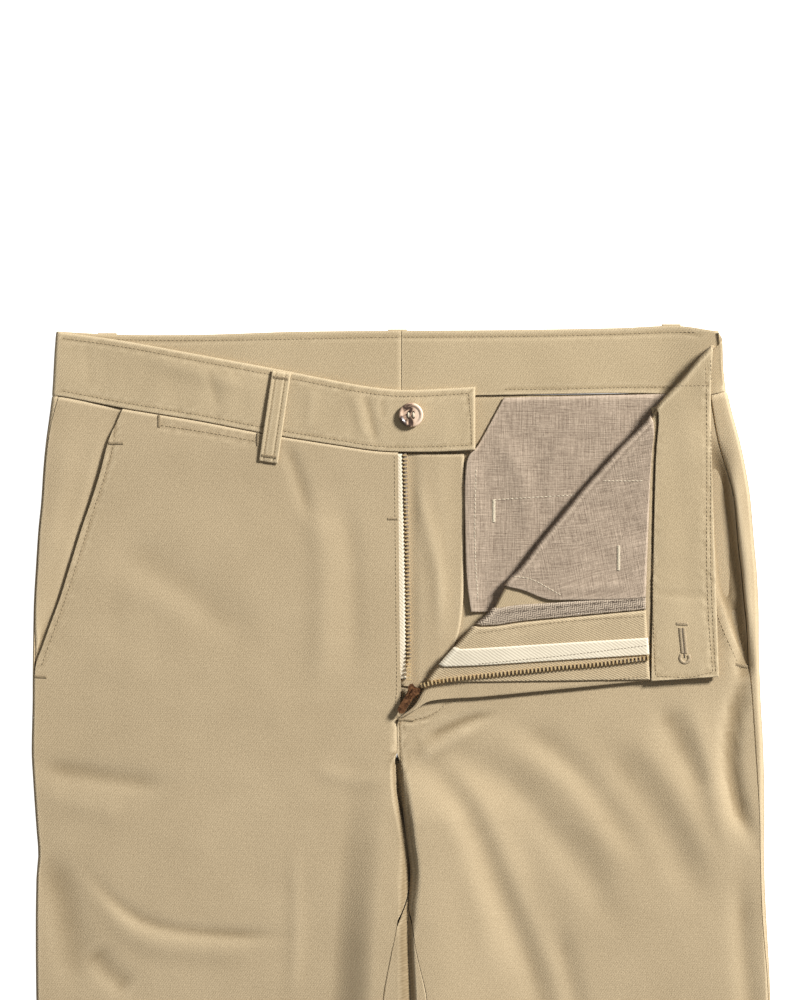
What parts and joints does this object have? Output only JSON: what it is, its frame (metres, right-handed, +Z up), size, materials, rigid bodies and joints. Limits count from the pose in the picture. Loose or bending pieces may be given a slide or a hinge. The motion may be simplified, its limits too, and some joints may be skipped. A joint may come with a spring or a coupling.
{
  "type": "chino trousers",
  "caption": "Flat-laid chino trousers, waistband button and brass fly zip open, one fly corner folded back to show its facing, zip tape and pocket bag.",
  "frame": {"origin": "centre of the laid trousers' box, on the surface they lie on", "axes": "+Y from the hems to the waist, +X towards the wearer's left side, +Z up out of the front"},
  "size_m": [0.4819, 1.0818, 0.0127],
  "materials": {
    "twill": "matt cotton twill",
    "pocketing": "matt mottled cotton pocketing",
    "binding": "matt herringbone tape",
    "zip_tape": "woven cream zip tape",
    "zip_teeth": "polished brass",
    "slider": "antique copper",
    "button": "polished horn pattern"
  },
  "bodies": {
    "garment": {"front_right": "twill", "front_left": "twill", "back_right": "twill", "back_left": "twill", "waistband_outer_right": "twill", "waistband_facing_right": "twill", "waistband_outer_left": "twill", "waistband_facing_left": "twill", "pocket_facing_right": "twill", "pocket_facing_left": "twill", "ticket_pocket_facing": "twill", "fly_shield": "twill", "fly_facing": "twill", "belt_loop_front_right": "twill", "belt_loop_front_left": "twill", "belt_loop_back_right": "twill", "belt_loop_back_centre": "twill", "belt_loop_back_left": "twill", "front_pocket_bag_left": "pocketing", "back_pocket_bag_left": "pocketing", "fly_binding": "binding", "zip_tape_right": "zip_tape", "zip_tape_left": "zip_tape", "zip_chain_right": "zip_teeth", "zip_chain_left": "zip_teeth", "zip_slider": "slider", "button": "button"},
    "pull_tab": {"zip_pull_tab": "slider"}
  },
  "joints": [
    {"name": "tab_hinge", "type": "hinge", "parent": "garment", "child": "pull_tab", "pos_m": [0.00741, 0.30092, 0.0104], "axis": [-0.8486, 0.5291, 0], "range_deg": [0, 140]}
  ]
}
